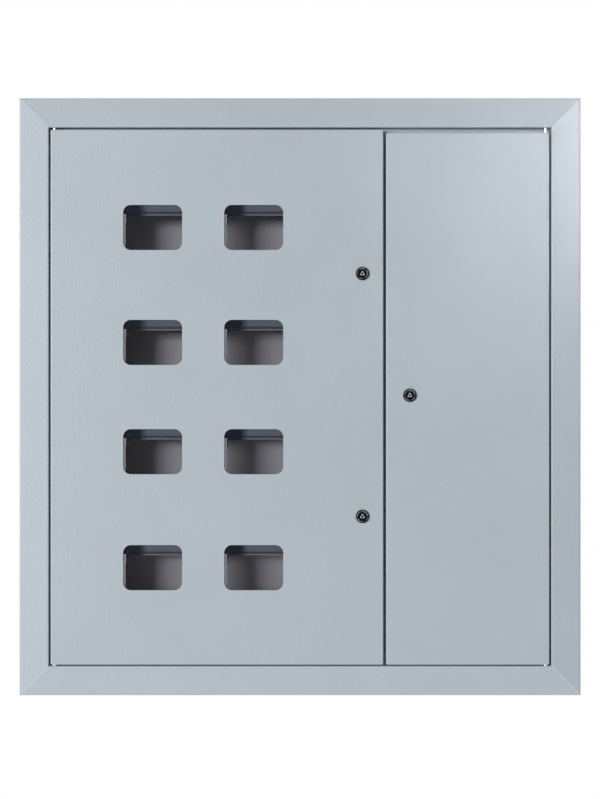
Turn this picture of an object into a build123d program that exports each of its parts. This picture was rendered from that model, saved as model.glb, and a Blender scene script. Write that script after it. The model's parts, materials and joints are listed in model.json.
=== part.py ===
from build123d import *
import os

# Floor distribution board for a stairwell: a steel case that stands in a wall niche behind a
# mitred front frame. The wide left door has eight meter windows and two cam locks. The narrow
# right door closes the low-voltage compartment and has one cam lock. Both doors turn on pins
# at their outer edges.
# X runs to the right, Y runs into the wall and Z runs up. The origin is the centre of the four
# wall fixing holes, on the back face. All sizes are in millimetres.

# Whole board
board_width = 940.0
board_height = 1000.0
board_depth = 150.0
wall_hole_spacing_x = 700.0
wall_hole_spacing_z = 780.0
wall_hole_radius = 5.0

# Front frame
frame_border = 49.0
frame_sheet = 1.5
frame_bend = 2.0
frame_lip = 10.0
rebate_depth = 19.0
rebate_lip = 18.0
mitre_gap = 0.2

# Case
case_sheet = 1.2
case_bend = 1.8
case_front_step = 12.0
case_flange = 15.0
weld_gap = 0.3
entry_width = 120.0
entry_depth = 60.0
entry_corner = 8.0
entry_insets_left = (122.5, 302.5)
entry_inset_right = 137.5
entry_from_back = 66.0

# Doors
left_door_width = 557.5
door_gap_side = 3.2
door_gap_centre = 4.6
door_gap_bottom = 2.0
left_gap_top = 3.5
right_gap_top = 8.7
door_sheet = 1.2
door_bend = 1.8
door_corner = 2.4
door_fold = 16.0
door_lip = 10.0

# Windows and their panes
window_width = 98.8
window_height = 75.6
window_corner = 13.0
window_insets = (171.0, 340.3)
window_drops = (164.0, 356.5, 539.5, 733.7)
pane_border = 10.0
pane_thickness = 2.0
retainer_sheet = 1.0
retainer_bend = 1.3
retainer_flange = 12.0
retainer_clearance = 1.0
retainer_end = 16.0
retainer_opening_corner = 6.0
retainer_top_cover = 14.5
retainer_left_cover = 3.5
retainer_open_margin = 3.0

# Hinges
hinge_inset = 6.0
pin_radius = 2.5
pin_fit = 0.06
pin_reach = 2.5
pin_chamfer = 0.6
pin_collar_radius = 4.0
pin_collar_clearance = 0.3
bracket_sheet = 2.0
bracket_bend = 2.6
bracket_width = 18.0
bracket_drop = 16.0
bracket_fit = 0.5

# Cam locks
lock_inset_left = 35.2
lock_inset_right = 39.5
left_lock_drops = (241.3, 647.9)
right_lock_drop = 439.9
lock_head_radius = 11.2
lock_head_height = 3.4
lock_head_round = 1.6
lock_body_radius = 9.0
lock_flats = 16.0
lock_hole_clearance = 0.15
lock_well_radius = 7.8
lock_well_depth = 4.6
lock_nut_flats = 23.0
lock_nut_thickness = 4.0
rotor_radius = 6.5
rotor_fit = 0.05
key_side = 9.0
key_corner = 1.2
key_set_back = 0.8
spindle_side = 7.0
cam_clearance = 1.0
cam_thickness = 2.0
cam_reach = 34.0
cam_width = 14.0
cam_hub_radius = 9.0
cam_axial_gap = 0.3
cam_screw_head_radius = 4.5
cam_screw_head = 2.4
cam_screw_radius = 2.0
cam_screw_length = 8.0
cam_bore_depth = 9.0

# Centre post and partition
post_width = 40.0
post_web_depth = 26.5
post_hem_gap = 0.2
post_hem_round = 0.9
partition_sheet = 1.2
partition_lap = 12.0
partition_foot = 12.0
notch_clearance = 1.0

# Uprights, meter plates, rails and the cover over the breakers
upright_sheet = 1.2
upright_width = 34.0
upright_depth = 50.0
upright_foot = 12.0
upright_bend = 1.8
upright_side_gap = 2.0
rail_span = 126.0
plate_sheet = 1.5
plate_height = 150.0
plate_fold = 10.0
plate_bend = 2.0
plate_slot_width = 6.0
plate_slot_length = 24.0
plate_slot_pitch_x = 40.0
plate_slot_pitch_z = 52.0
split_gap = 1.0
edge_step = 4.0
fixing_edge = 8.0
rail_height = 35.0
rail_crown = 25.0
rail_depth = 7.5
rail_sheet = 1.0
rail_bend = 1.3
cover_sheet = 1.2
cover_fold = 12.0
cover_end_gap = 21.5
cover_edge = 11.0
cover_slot_height = 46.0
cover_slot_edge = 16.0
cover_slot_corner = 2.0
spacer_length = 50.0
spacer_flats = 8.0
spacer_inset_z = 15.0

# Low-voltage mounting panel
panel_end_gap = 106.5
panel_side_gap = 20.0
panel_slot_pitch = 150.0
panel_slot_rows = 4

# Neutral and earth bars
bar_length = 220.0
bar_height = 12.0
bar_thickness = 8.0
bar_inset = 242.5
bar_rises = (44.5, 16.5)
bar_support_size = 18.0
bar_support_height = 30.0
bar_pitch = 22.0
bar_terminals = 8
bar_wire_hole_radius = 2.5

# Small fasteners
screw_head_radius = 4.6
screw_head_height = 2.8
screw_radius = 2.5
screw_length = 8.0
screw_bore_depth = 9.0
thread_fit = 0.05
stud_radius = 2.5
stud_length = 10.0
nut_flats = 8.0
nut_height = 4.0
earth_stud_radius = 4.0
earth_stud_length = 24.0
earth_nut_flats = 13.0
earth_nut_height = 6.5
earth_stud_inset = 65.0
earth_stud_rise = 26.5
door_stud_side = 40.0
door_stud_bottom = 50.0

# How far cutting tools reach past the faces they cut
cut_margin = 1.0

# Places worked out from the sizes above
y_front = -board_depth
opening_x = board_width / 2 - frame_border
opening_z = board_height / 2 - frame_border
y_rebate = y_front + rebate_depth
y_rebate_back = y_rebate + frame_sheet
case_inner_x = opening_x + frame_sheet
case_inner_z = opening_z + frame_sheet
y_case_front = y_front + case_front_step
y_back_inner = -case_sheet

door_outer_x = opening_x - door_gap_side
left_door_edge = -door_outer_x + left_door_width
right_door_edge = left_door_edge + door_gap_centre
post_x = (left_door_edge + right_door_edge) / 2
door_bottom = -opening_z + door_gap_bottom
left_door_top = opening_z - left_gap_top
right_door_top = opening_z - right_gap_top
y_door_inner = y_front + door_sheet
y_door_back = y_front + door_fold

hinge_x = door_outer_x - hinge_inset
y_hinge = y_front + hinge_inset

window_columns = [-door_outer_x + inset for inset in window_insets]
window_rows = [left_door_top - drop for drop in window_drops]
pane_width = window_width + 2 * pane_border
pane_height = window_height + 2 * pane_border
y_pane_back = y_door_inner + pane_thickness
retainer_inner = pane_height / 2 + retainer_clearance
retainer_outer = retainer_inner + retainer_sheet + retainer_flange
retainer_x0 = window_columns[0] - pane_width / 2 - retainer_end
retainer_x1 = window_columns[-1] + pane_width / 2 + retainer_end

left_lock_heights = [left_door_top - drop for drop in left_lock_drops]
right_lock_height = right_door_top - right_lock_drop
left_lock_x = left_door_edge - lock_inset_left
right_lock_x = right_door_edge + lock_inset_right
y_cam_front = y_rebate_back + cam_clearance
y_cam_back = y_cam_front + cam_thickness
y_barrel_back = y_cam_front - cam_axial_gap
y_well = y_front - lock_head_height + lock_well_depth

web_half = post_hem_gap / 2 + frame_sheet
upright_half_foot = upright_width / 2 + upright_foot
upright_left_x = -(case_inner_x - upright_side_gap - upright_half_foot)
upright_right_x = post_x - web_half - upright_side_gap - upright_half_foot
upright_middle_x = upright_right_x - rail_span
inner_z = case_inner_z - case_flange - notch_clearance
y_upright = y_back_inner - upright_depth
y_plate = y_upright - plate_sheet
plate_x0 = upright_left_x - upright_width / 2 + edge_step
plate_x1 = upright_middle_x - split_gap
rail_x0 = upright_middle_x + split_gap
rail_x1 = upright_right_x + upright_width / 2 - edge_step
cover_height = 2 * (inner_z - cover_end_gap)
y_cover_back = y_upright - spacer_length
cover_x0 = upright_middle_x - cover_edge
cover_x1 = upright_right_x + cover_edge
partition_x = post_x + web_half
panel_x0 = partition_x + partition_sheet + panel_side_gap
panel_x1 = case_inner_x - panel_side_gap
panel_height = 2 * (inner_z - panel_end_gap)
y_panel_back = y_back_inner - spacer_length
bar_centre_x = -case_inner_x + bar_inset
bar_heights_z = [-inner_z + rise for rise in bar_rises]
earth_stud_x = upright_right_x - earth_stud_inset
earth_stud_z = -inner_z + earth_stud_rise
entry_centres_x = [-case_inner_x + inset for inset in entry_insets_left]
entry_centres_x.append(case_inner_x - entry_inset_right)
y_bar_back = y_back_inner - bar_support_height

# Which side of its drawn line a folded sheet lies on
on_left = 1
on_right = -1


def block(x0, x1, y0, y1, z0, z1):
    """Solid block between two corners."""
    centre = ((x0 + x1) / 2, (y0 + y1) / 2, (z0 + z1) / 2)
    return Pos(*centre) * Box(abs(x1 - x0), abs(y1 - y0), abs(z1 - z0))


def rod(radius, start, end, axis):
    """Round rod between two points that lie along one axis."""
    length = (Vector(*end) - Vector(*start)).length
    return extrude(Plane(start, z_dir=axis) * Circle(radius), length)


def folded_section(points, bends, sheet, side):
    """Section of a sheet with square bends. Its face follows the points, with the given bend
    radii, and its thickness lies to the left (side 1) or to the right (side -1)."""
    corners = [Vector(*point) for point in points]
    runs = [(b - a).normalized() for a, b in zip(corners, corners[1:])]
    steps = [Vector(-run.Y, run.X) * side * sheet for run in runs]
    back = [corners[0] + steps[0]]
    back_bends = []
    for i, bend in enumerate(bends):
        back.append(corners[i + 1] + steps[i] + steps[i + 1])
        towards = side * (runs[i].X * runs[i + 1].Y - runs[i].Y * runs[i + 1].X)
        back_bends.append(bend - sheet if towards > 0 else bend + sheet)
    back.append(corners[-1] + steps[-1])
    outline = FilletPolyline(*corners, radius=list(bends)).edges()
    outline += FilletPolyline(*back, radius=back_bends).edges()
    outline += [Edge.make_line(corners[0], back[0]), Edge.make_line(corners[-1], back[-1])]
    return make_face(outline)


def facing(y):
    """Plane parallel to the board's front at depth y, with its normal towards the viewer."""
    return Plane.XZ.offset(-y)


def cut_through(outline, x, z, y0, y1):
    """Tool that cuts an outline, centred at x and z, from depth y0 to the deeper y1."""
    return extrude(facing(y1) * Pos(x, z) * outline, y1 - y0)


def group(solids):
    """Separate like pieces kept together as one named part."""
    return Compound(children=list(solids))


def round_slot(length, width, upright=False):
    """Outline of a slot with round ends."""
    outline = SlotOverall(length, width)
    return Rot(0, 0, 90) * outline if upright else outline


# Front frame: four mitred profiles bent from one strip each

def frame_bar(outward, opening_half, outer_half):
    """One mitred profile, with its returned lip, face, return and rebate lip."""
    section = folded_section(
        [(frame_border, frame_lip), (frame_border, 0), (0, 0), (0, rebate_depth),
         (-rebate_lip, rebate_depth)],
        (frame_bend, frame_bend, frame_bend - frame_sheet), frame_sheet, on_right)
    bar = extrude(section, outer_half, both=True)
    reach = outer_half - frame_border - mitre_gap
    low = -rebate_lip - cut_margin
    high = frame_border + cut_margin
    mitre = Polyline((low, -reach - low), (high, -reach - high), (high, reach + high),
                     (low, reach + low), close=True)
    bar &= extrude(Plane.XZ * make_face(mitre), board_depth, both=True)
    direction = Vector(*outward)
    place = Plane(direction * opening_half + Vector(0, y_front, 0), x_dir=direction,
                  z_dir=direction.cross(Vector(0, 1, 0)))
    return place * bar


def pin_holes(z0, z1, radius):
    """Tools for the two hinge pin holes, left and right, between two heights."""
    return [rod(radius, (x, y_hinge, z0), (x, y_hinge, z1), (0, 0, 1)) for x in (-hinge_x, hinge_x)]


def frame_top():
    bar = frame_bar((0, 0, 1), opening_z, board_width / 2)
    return bar - pin_holes(opening_z - cut_margin, case_inner_z + cut_margin, pin_radius + pin_fit)


def frame_bottom():
    bar = frame_bar((0, 0, -1), opening_z, board_width / 2)
    return bar - pin_holes(-case_inner_z - cut_margin, -opening_z + cut_margin, pin_radius + pin_fit)


# Case: one sheet bent to the sides and back, with a top and a bottom let in

def case_shell():
    """Left side, back and right side bent from one sheet."""
    outer_x = case_inner_x + case_sheet
    section = folded_section(
        [(-outer_x, y_case_front), (-outer_x, 0), (outer_x, 0), (outer_x, y_case_front)],
        (case_bend, case_bend), case_sheet, on_right)
    height = case_inner_z + case_sheet
    shell = extrude(section, height, both=True)
    holes = [cut_through(Circle(wall_hole_radius), sx * wall_hole_spacing_x / 2,
                         sz * wall_hole_spacing_z / 2, -2 * case_sheet, case_sheet)
             for sx in (-1, 1) for sz in (-1, 1)]
    stud_hole = cut_through(Circle(earth_stud_radius + thread_fit), earth_stud_x, earth_stud_z,
                            -2 * case_sheet, case_sheet)
    return shell - holes - stud_hole


def end_wall(side):
    """Top or bottom of the case, with a welding flange at the back and the cable entries."""
    inner = case_inner_z
    y_back = y_back_inner - weld_gap / 2
    section = folded_section(
        [(y_case_front, inner + case_sheet), (y_back, inner + case_sheet),
         (y_back, inner - case_flange)],
        (case_bend,), case_sheet, on_right)
    wall = extrude(Plane.YZ * section, case_inner_x - weld_gap, both=True)
    for x in entry_centres_x:
        outline = Pos(x, -entry_from_back) * RectangleRounded(entry_width, entry_depth, entry_corner)
        wall -= extrude(Plane.XY.offset(inner - cut_margin) * outline, case_sheet + 2 * cut_margin)
    return wall if side > 0 else mirror(wall, Plane.XY)


# Centre post between the doors and the partition behind it

def centre_post():
    """T profile bent from one strip, its web closed by a hem, let in behind the rebate lips."""
    left = post_x - post_width / 2
    right = post_x + post_width / 2
    seam = post_hem_gap / 2
    hem_bend = seam * post_hem_round
    y_hem = y_rebate + post_web_depth
    section = folded_section(
        [(left, y_rebate), (post_x - seam, y_rebate), (post_x - seam, y_hem),
         (post_x + seam, y_hem), (post_x + seam, y_rebate), (right, y_rebate)],
        (frame_bend, hem_bend, hem_bend, frame_bend), frame_sheet, on_left)
    post = extrude(section, case_inner_z, both=True)
    lip_edge = opening_z - rebate_lip - weld_gap
    for sz in (-1, 1):
        z0 = sz * lip_edge
        z1 = sz * (case_inner_z + cut_margin)
        y0 = y_rebate - cut_margin
        y_bend = y_rebate_back + frame_bend
        post -= block(left - cut_margin, right + cut_margin, y0, y_rebate_back + weld_gap, z0, z1)
        post -= block(left - cut_margin, post_x - web_half, y0, y_bend, z0, z1)
        post -= block(post_x + web_half, right + cut_margin, y0, y_bend, z0, z1)
    return post


def partition():
    """Sheet that parts the two compartments, lapped on the post and footed on the back."""
    y_lap = y_rebate + post_web_depth - partition_lap
    x_out = partition_x + partition_foot
    section = folded_section(
        [(partition_x, y_lap), (partition_x, y_back_inner), (x_out, y_back_inner)],
        (case_bend,), partition_sheet, on_right)
    sheet = extrude(section, case_inner_z, both=True)
    y_notch = y_back_inner - case_sheet - weld_gap - notch_clearance
    for sz in (-1, 1):
        sheet -= block(partition_x - cut_margin, x_out + cut_margin, y_notch, cut_margin,
                       sz * inner_z, sz * (case_inner_z + cut_margin))
    return sheet


# Uprights on the back and what they carry

def upright(x):
    """Hat profile standing on the back of the case."""
    half = upright_width / 2 - upright_sheet
    y_foot = y_back_inner
    y_crown = y_upright + upright_sheet
    inside_bend = upright_bend - upright_sheet
    section = folded_section(
        [(x - upright_half_foot, y_foot), (x - half, y_foot), (x - half, y_crown),
         (x + half, y_crown), (x + half, y_foot), (x + upright_half_foot, y_foot)],
        (upright_bend, inside_bend, inside_bend, upright_bend), upright_sheet, on_right)
    profile = extrude(section, inner_z, both=True)
    places = [place for row in window_rows for place in plate_fixings(row) + rail_fixings(row)]
    for screw_x, z in places:
        if abs(screw_x - x) < half:
            profile -= cut_through(Circle(screw_radius + thread_fit), screw_x, z,
                                   y_upright - cut_margin, y_crown + cut_margin)
    return profile


def plate_fixings(row):
    """Screw places of one meter plate."""
    height = plate_height / 2 - 2 * fixing_edge
    return [(x, row + sz * height) for x in (plate_x0 + fixing_edge, plate_x1 - fixing_edge)
            for sz in (-1, 1)]


def rail_fixings(row):
    """Screw places of one rail."""
    return [(x, row) for x in (rail_x0 + fixing_edge, rail_x1 - fixing_edge)]


def folded_plate(x0, x1, height, y_back):
    """Flat plate with its top and bottom edges folded forward."""
    half = height / 2
    y_edge = y_back - plate_fold
    section = folded_section(
        [(y_edge, half), (y_back, half), (y_back, -half), (y_edge, -half)],
        (plate_bend, plate_bend), plate_sheet, on_right)
    return extrude(Plane.YZ.offset(x0) * section, x1 - x0)


def meter_plate(row):
    """Plate for two meters, each place with rows of fixing slots."""
    plate = Pos(0, 0, row) * folded_plate(plate_x0, plate_x1, plate_height, y_upright)
    y0 = y_plate - cut_margin
    y1 = y_upright + cut_margin
    upright_slot = round_slot(plate_slot_length, plate_slot_width, True)
    level_slot = round_slot(plate_slot_length, plate_slot_width)
    for x in window_columns:
        for step in (-1, 0, 1):
            plate -= cut_through(upright_slot, x + step * plate_slot_pitch_x,
                                 row + plate_slot_pitch_z, y0, y1)
        for step in (-1, 1):
            plate -= cut_through(level_slot, x + step * plate_slot_pitch_x,
                                 row - plate_slot_pitch_z, y0, y1)
    for x, z in plate_fixings(row):
        plate -= cut_through(Circle(screw_radius + thread_fit), x, z, y0, y1)
    return plate


def rail_section():
    """Top-hat section of a mounting rail, in depth and height."""
    brim = rail_height / 2
    crown = rail_crown / 2
    y_brim = y_upright - rail_depth + rail_sheet
    return folded_section(
        [(y_brim, brim), (y_brim, crown), (y_upright, crown), (y_upright, -crown),
         (y_brim, -crown), (y_brim, -brim)],
        (rail_bend - rail_sheet, rail_bend, rail_bend, rail_bend - rail_sheet),
        rail_sheet, on_right)


def rail(row):
    """One mounting rail for breakers, screwed to the middle and right uprights."""
    bar = Pos(0, 0, row) * extrude(Plane.YZ.offset(rail_x0) * rail_section(), rail_x1 - rail_x0)
    for x, z in rail_fixings(row):
        bar -= cut_through(Circle(screw_radius + thread_fit), x, z,
                           y_upright - rail_sheet - cut_margin, y_upright + cut_margin)
    return bar


def cover_fixings():
    """Screw places of the breaker cover, one on each spacer."""
    height = cover_height / 2 - spacer_inset_z
    return [(x, sz * height) for x in (upright_middle_x, upright_right_x) for sz in (-1, 1)]


def breaker_cover():
    """Shallow folded cover with one slot in front of each rail."""
    width = cover_x1 - cover_x0
    centre = (cover_x0 + cover_x1) / 2
    y_face = y_cover_back - cover_sheet
    skin = extrude(facing(y_face) * Pos(centre, 0) * Rectangle(width, cover_height), -cover_fold)
    skin = fillet(skin.faces().sort_by(Axis.Y)[0].edges(), case_bend)
    inner = extrude(facing(y_cover_back) * Pos(centre, 0)
                    * Rectangle(width - 2 * cover_sheet, cover_height - 2 * cover_sheet),
                    -cover_fold)
    inner = fillet(inner.faces().sort_by(Axis.Y)[0].edges(), case_bend - cover_sheet)
    cover = skin - inner
    slot = RectangleRounded(width - 2 * cover_slot_edge, cover_slot_height, cover_slot_corner)
    y0 = y_face - cut_margin
    y1 = y_cover_back + cut_margin
    for row in window_rows:
        cover -= cut_through(slot, centre, row, y0, y1)
    for x, z in cover_fixings():
        cover -= cut_through(Circle(screw_radius + thread_fit), x, z, y0, y1)
    return cover


def panel_fixings():
    """Screw places of the low-voltage panel, one on each spacer."""
    height = panel_height / 2 - spacer_inset_z
    return [(x, sz * height) for x in (panel_x0 + 2 * fixing_edge, panel_x1 - 2 * fixing_edge)
            for sz in (-1, 1)]


def mounting_panel():
    """Panel on spacers in the low-voltage compartment, with rows of fixing slots."""
    panel = folded_plate(panel_x0, panel_x1, panel_height, y_panel_back)
    y0 = y_panel_back - plate_sheet - cut_margin
    y1 = y_panel_back + cut_margin
    quarter = (panel_x1 - panel_x0) / 4
    centre = (panel_x0 + panel_x1) / 2
    slot = round_slot(2 * plate_slot_length, plate_slot_width)
    for i in range(panel_slot_rows):
        z = (i - (panel_slot_rows - 1) / 2) * panel_slot_pitch
        for x in (centre - quarter, centre + quarter):
            panel -= cut_through(slot, x, z, y0, y1)
    for x, z in panel_fixings():
        panel -= cut_through(Circle(screw_radius + thread_fit), x, z, y0, y1)
    return panel


def hex_spacer(x, z, y_seat):
    """Hexagonal spacer standing forward of its seat, open for a screw at the front."""
    apothem = spacer_flats / 2
    post = extrude(facing(y_seat) * Pos(x, z) * RegularPolygon(apothem, 6, major_radius=False),
                   spacer_length)
    y_end = y_seat - spacer_length
    return post - cut_through(Circle(screw_radius + thread_fit), x, z, y_end - cut_margin,
                              y_end + screw_bore_depth)


def spacers():
    low = [hex_spacer(x, z, y_back_inner) for x, z in panel_fixings()]
    high = [hex_spacer(x, z, y_upright) for x, z in cover_fixings()]
    return group(low + high)


def screw(x, z, y_seat):
    """Pan-head screw whose head sits on a face at depth y_seat."""
    head = extrude(facing(y_seat) * Pos(x, z) * Circle(screw_head_radius), screw_head_height)
    shank = extrude(facing(y_seat + screw_length) * Pos(x, z) * Circle(screw_radius),
                    screw_length)
    return head + shank


def case_screws():
    """Screws of the meter plates, rails, cover and low-voltage panel."""
    places = [(x, z, y_plate) for row in window_rows for x, z in plate_fixings(row)]
    places += [(x, z, y_upright - rail_sheet) for row in window_rows for x, z in rail_fixings(row)]
    places += [(x, z, y_cover_back - cover_sheet) for x, z in cover_fixings()]
    places += [(x, z, y_panel_back - plate_sheet) for x, z in panel_fixings()]
    return group(screw(x, z, y) for x, z, y in places)


# Neutral and earth bars near the bottom

def bar_support_places():
    """Centres of the four bar supports."""
    reach = bar_length / 2 - bar_support_size / 2
    return [(bar_centre_x + sx * reach, z) for z in bar_heights_z for sx in (-1, 1)]


def terminal_places(z):
    """Centres of one bar's terminal screws."""
    first = bar_centre_x - (bar_terminals - 1) * bar_pitch / 2
    return [(first + i * bar_pitch, z) for i in range(bar_terminals)]


def terminal_bar(z):
    """Brass bar with a row of wire holes, each crossed by a terminal screw."""
    half = bar_length / 2
    y_face = y_bar_back - bar_thickness
    bar = block(bar_centre_x - half, bar_centre_x + half, y_face, y_bar_back,
                z - bar_height / 2, z + bar_height / 2)
    y_wire = y_bar_back - bar_thickness / 2
    for x, _ in terminal_places(z):
        bar -= rod(bar_wire_hole_radius, (x, y_wire, z - bar_height), (x, y_wire, z + bar_height),
                   (0, 0, 1))
    return bar


def bar_supports():
    side = bar_support_size / 2
    return group(block(x - side, x + side, y_bar_back, y_back_inner, z - side, z + side)
                 for x, z in bar_support_places())


def bar_screws():
    """Terminal screw heads standing on the faces of both bars."""
    y_face = y_bar_back - bar_thickness
    return group(extrude(facing(y_face) * Pos(x, z) * Circle(screw_radius), screw_head_height)
                 for level in bar_heights_z for x, z in terminal_places(level))


def hex_nut(flats, height, bore, x, z, y_seat):
    """Hexagonal nut standing forward of its seat."""
    outline = RegularPolygon(flats / 2, 6, major_radius=False) - Circle(bore)
    return extrude(facing(y_seat) * Pos(x, z) * outline, height)


def earth_stud():
    """Earthing stud through the back of the case, with its nut."""
    stud = rod(earth_stud_radius, (earth_stud_x, y_back_inner - earth_stud_length, earth_stud_z),
               (earth_stud_x, -weld_gap, earth_stud_z), (0, 1, 0))
    nut = hex_nut(earth_nut_flats, earth_nut_height, earth_stud_radius + thread_fit, earth_stud_x,
                  earth_stud_z, y_back_inner)
    return group([stud, nut])


# Doors

def lock_hole(x, z):
    """Round hole with two flats that stops a lock barrel from turning."""
    radius = lock_body_radius + lock_hole_clearance
    flats = Rectangle(lock_flats + 2 * lock_hole_clearance, 4 * radius)
    return cut_through(Circle(radius) & flats, x, z, y_front - cut_margin,
                       y_door_inner + cut_margin)


def door_pan(x0, x1, z0, z1):
    """Door leaf folded back on its four sides, with lips returned inwards."""
    place = Pos((x0 + x1) / 2, (z0 + z1) / 2)
    width = x1 - x0
    height = z1 - z0
    skin = extrude(facing(y_front) * place * RectangleRounded(width, height, door_corner),
                   -door_fold)
    ends = skin.faces().sort_by(Axis.Y)
    skin = fillet(ends[0].edges() + ends[-1].edges(), door_bend)
    inset = 2 * door_sheet
    hollow = extrude(facing(y_door_inner) * place
                     * RectangleRounded(width - inset, height - inset, door_corner - door_sheet),
                     inset - door_fold)
    mouth = extrude(facing(y_door_inner + door_sheet) * place
                    * Rectangle(width - 2 * door_lip, height - 2 * door_lip), -door_fold)
    return skin - hollow - mouth


def door_pin_holes(x, top):
    """Tools for the pin holes in the top and bottom folds of a door."""
    radius = pin_radius + pin_fit
    half = 2 * door_sheet
    return [rod(radius, (x, y_hinge, z - half), (x, y_hinge, z + half), (0, 0, 1))
            for z in (top, door_bottom)]


def left_door():
    """Metering door with its windows, lock holes and pin holes."""
    leaf = door_pan(-door_outer_x, left_door_edge, door_bottom, left_door_top)
    window = RectangleRounded(window_width, window_height, window_corner)
    for x in window_columns:
        for row in window_rows:
            leaf -= cut_through(window, x, row, y_front - cut_margin, y_door_inner + cut_margin)
    for height in left_lock_heights:
        leaf -= lock_hole(left_lock_x, height)
    return leaf - door_pin_holes(-hinge_x, left_door_top)


def right_door():
    """Low-voltage door with its lock hole and pin holes."""
    leaf = door_pan(right_door_edge, door_outer_x, door_bottom, right_door_top)
    leaf -= lock_hole(right_lock_x, right_lock_height)
    return leaf - door_pin_holes(hinge_x, right_door_top)


# Hinge pins and the brackets that carry them

def hinge_bracket(outer_x, edge, side):
    """Angle welded inside a door corner, with a leaf that steadies the pin."""
    y_end = y_door_back - door_sheet - bracket_fit
    section = folded_section(
        [(y_door_inner, -bracket_fit), (y_door_inner, -bracket_drop), (y_end, -bracket_drop)],
        (bracket_bend,), bracket_sheet, on_left)
    x0 = min(outer_x, outer_x - side * bracket_width)
    angle = extrude(Plane.YZ.offset(x0) * section, bracket_width)
    hole = rod(pin_radius + pin_fit, (side * hinge_x, y_hinge, -2 * bracket_drop),
               (side * hinge_x, y_hinge, 0), (0, 0, 1))
    angle -= hole
    if edge < 0:
        angle = mirror(angle, Plane.XY)
    return Pos(0, 0, edge) * angle


def door_brackets(side, top):
    """Both brackets of one door; side is -1 for the left door and 1 for the right."""
    outer_x = side * (door_outer_x - door_sheet - bracket_fit)
    return group([hinge_bracket(outer_x, top - door_sheet, side),
                  hinge_bracket(outer_x, door_bottom + door_sheet, side)])


def door_pins(side, top):
    """Both pins of one door: a plain one at the top, and one with a collar at the bottom."""
    x = side * hinge_x
    tail = bracket_drop + 2 * bracket_sheet
    high = rod(pin_radius, (x, y_hinge, top - door_sheet - tail),
               (x, y_hinge, case_inner_z + pin_reach), (0, 0, 1))
    high = chamfer(high.faces().sort_by(Axis.Z)[-1].edges(), pin_chamfer)
    low = rod(pin_radius, (x, y_hinge, -case_inner_z - pin_reach),
              (x, y_hinge, door_bottom + door_sheet + tail), (0, 0, 1))
    low = chamfer(low.faces().sort_by(Axis.Z)[0].edges(), pin_chamfer)
    low += rod(pin_collar_radius, (x, y_hinge, -opening_z + pin_collar_clearance),
               (x, y_hinge, door_bottom), (0, 0, 1))
    return group([high, low])


# Panes and the retainers behind them

def pane(x, row):
    """Clear pane held behind one window."""
    return block(x - pane_width / 2, x + pane_width / 2, y_door_inner, y_pane_back,
                 row - pane_height / 2, row + pane_height / 2)


def retainer_studs(row):
    """Places of the four studs that hold one retainer."""
    height = retainer_inner + (retainer_sheet + retainer_flange) / 2
    inset = retainer_end / 2
    return [(x, row + sz * height) for x in (retainer_x0 + inset, retainer_x1 - inset)
            for sz in (-1, 1)]


def pane_retainer(row):
    """Pressed strip that holds the two panes of a row against the door."""
    inner = retainer_inner
    outer = retainer_outer
    inside_bend = retainer_bend - retainer_sheet
    section = folded_section(
        [(y_door_inner, outer), (y_door_inner, inner), (y_pane_back, inner),
         (y_pane_back, -inner), (y_door_inner, -inner), (y_door_inner, -outer)],
        (retainer_bend, inside_bend, inside_bend, retainer_bend), retainer_sheet, on_left)
    strip = Pos(0, 0, row) * extrude(Plane.YZ.offset(retainer_x0) * section,
                                     retainer_x1 - retainer_x0)
    width = window_width - retainer_left_cover + retainer_open_margin
    height = window_height - retainer_top_cover + retainer_open_margin
    shift_x = (retainer_left_cover + retainer_open_margin) / 2
    shift_z = -(retainer_top_cover + retainer_open_margin) / 2
    opening = RectangleRounded(width, height, retainer_opening_corner)
    y1 = y_pane_back + retainer_sheet + cut_margin
    for x in window_columns:
        strip -= cut_through(opening, x + shift_x, row + shift_z, y_pane_back - cut_margin, y1)
    for x, z in retainer_studs(row):
        strip -= cut_through(Circle(stud_radius + thread_fit), x, z, y_door_inner - cut_margin, y1)
    return strip


def stud_with_nut(x, z, y_seat):
    """Stud welded inside a door, and the nut on it that bears on a face at depth y_seat."""
    stud = rod(stud_radius, (x, y_door_inner, z), (x, y_door_inner + stud_length, z), (0, 1, 0))
    nut = hex_nut(nut_flats, nut_height, stud_radius + thread_fit, x, z, y_seat + nut_height)
    return [stud, nut]


def earth_stud_of_door(side):
    """Earthing stud and nut at the bottom of a door; side is -1 for left and 1 for right."""
    x = side * (door_outer_x - door_stud_side)
    return stud_with_nut(x, door_bottom + door_stud_bottom, y_door_inner)


def left_door_studs():
    """Studs and nuts that hold the retainers, with the left door's earthing stud."""
    solids = earth_stud_of_door(-1)
    for row in window_rows:
        for x, z in retainer_studs(row):
            solids += stud_with_nut(x, z, y_door_inner + retainer_sheet)
    return group(solids)


# Cam locks

def lock_barrel(x, z):
    """Lock body: a domed head with a key well, and a threaded shank with two flats."""
    y_head = y_front - lock_head_height
    head = extrude(facing(y_front) * Circle(lock_head_radius), lock_head_height)
    head = fillet(head.faces().sort_by(Axis.Y)[0].edges(), lock_head_round)
    flats = Circle(lock_body_radius) & Rectangle(lock_flats, 4 * lock_body_radius)
    shank = extrude(facing(y_barrel_back) * flats, y_barrel_back - y_front)
    well = extrude(facing(y_well) * Circle(lock_well_radius), y_well - y_head + cut_margin)
    bore = extrude(facing(y_barrel_back + cut_margin) * Circle(rotor_radius + rotor_fit),
                   y_barrel_back - y_head + 2 * cut_margin)
    return Pos(x, 0, z) * (head + shank - well - bore)


def lock_nut(x, z):
    """Thin nut behind the door that clamps the barrel."""
    y_back = y_door_inner + lock_nut_thickness
    return hex_nut(lock_nut_flats, lock_nut_thickness, lock_body_radius + thread_fit, x, z, y_back)


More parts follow.
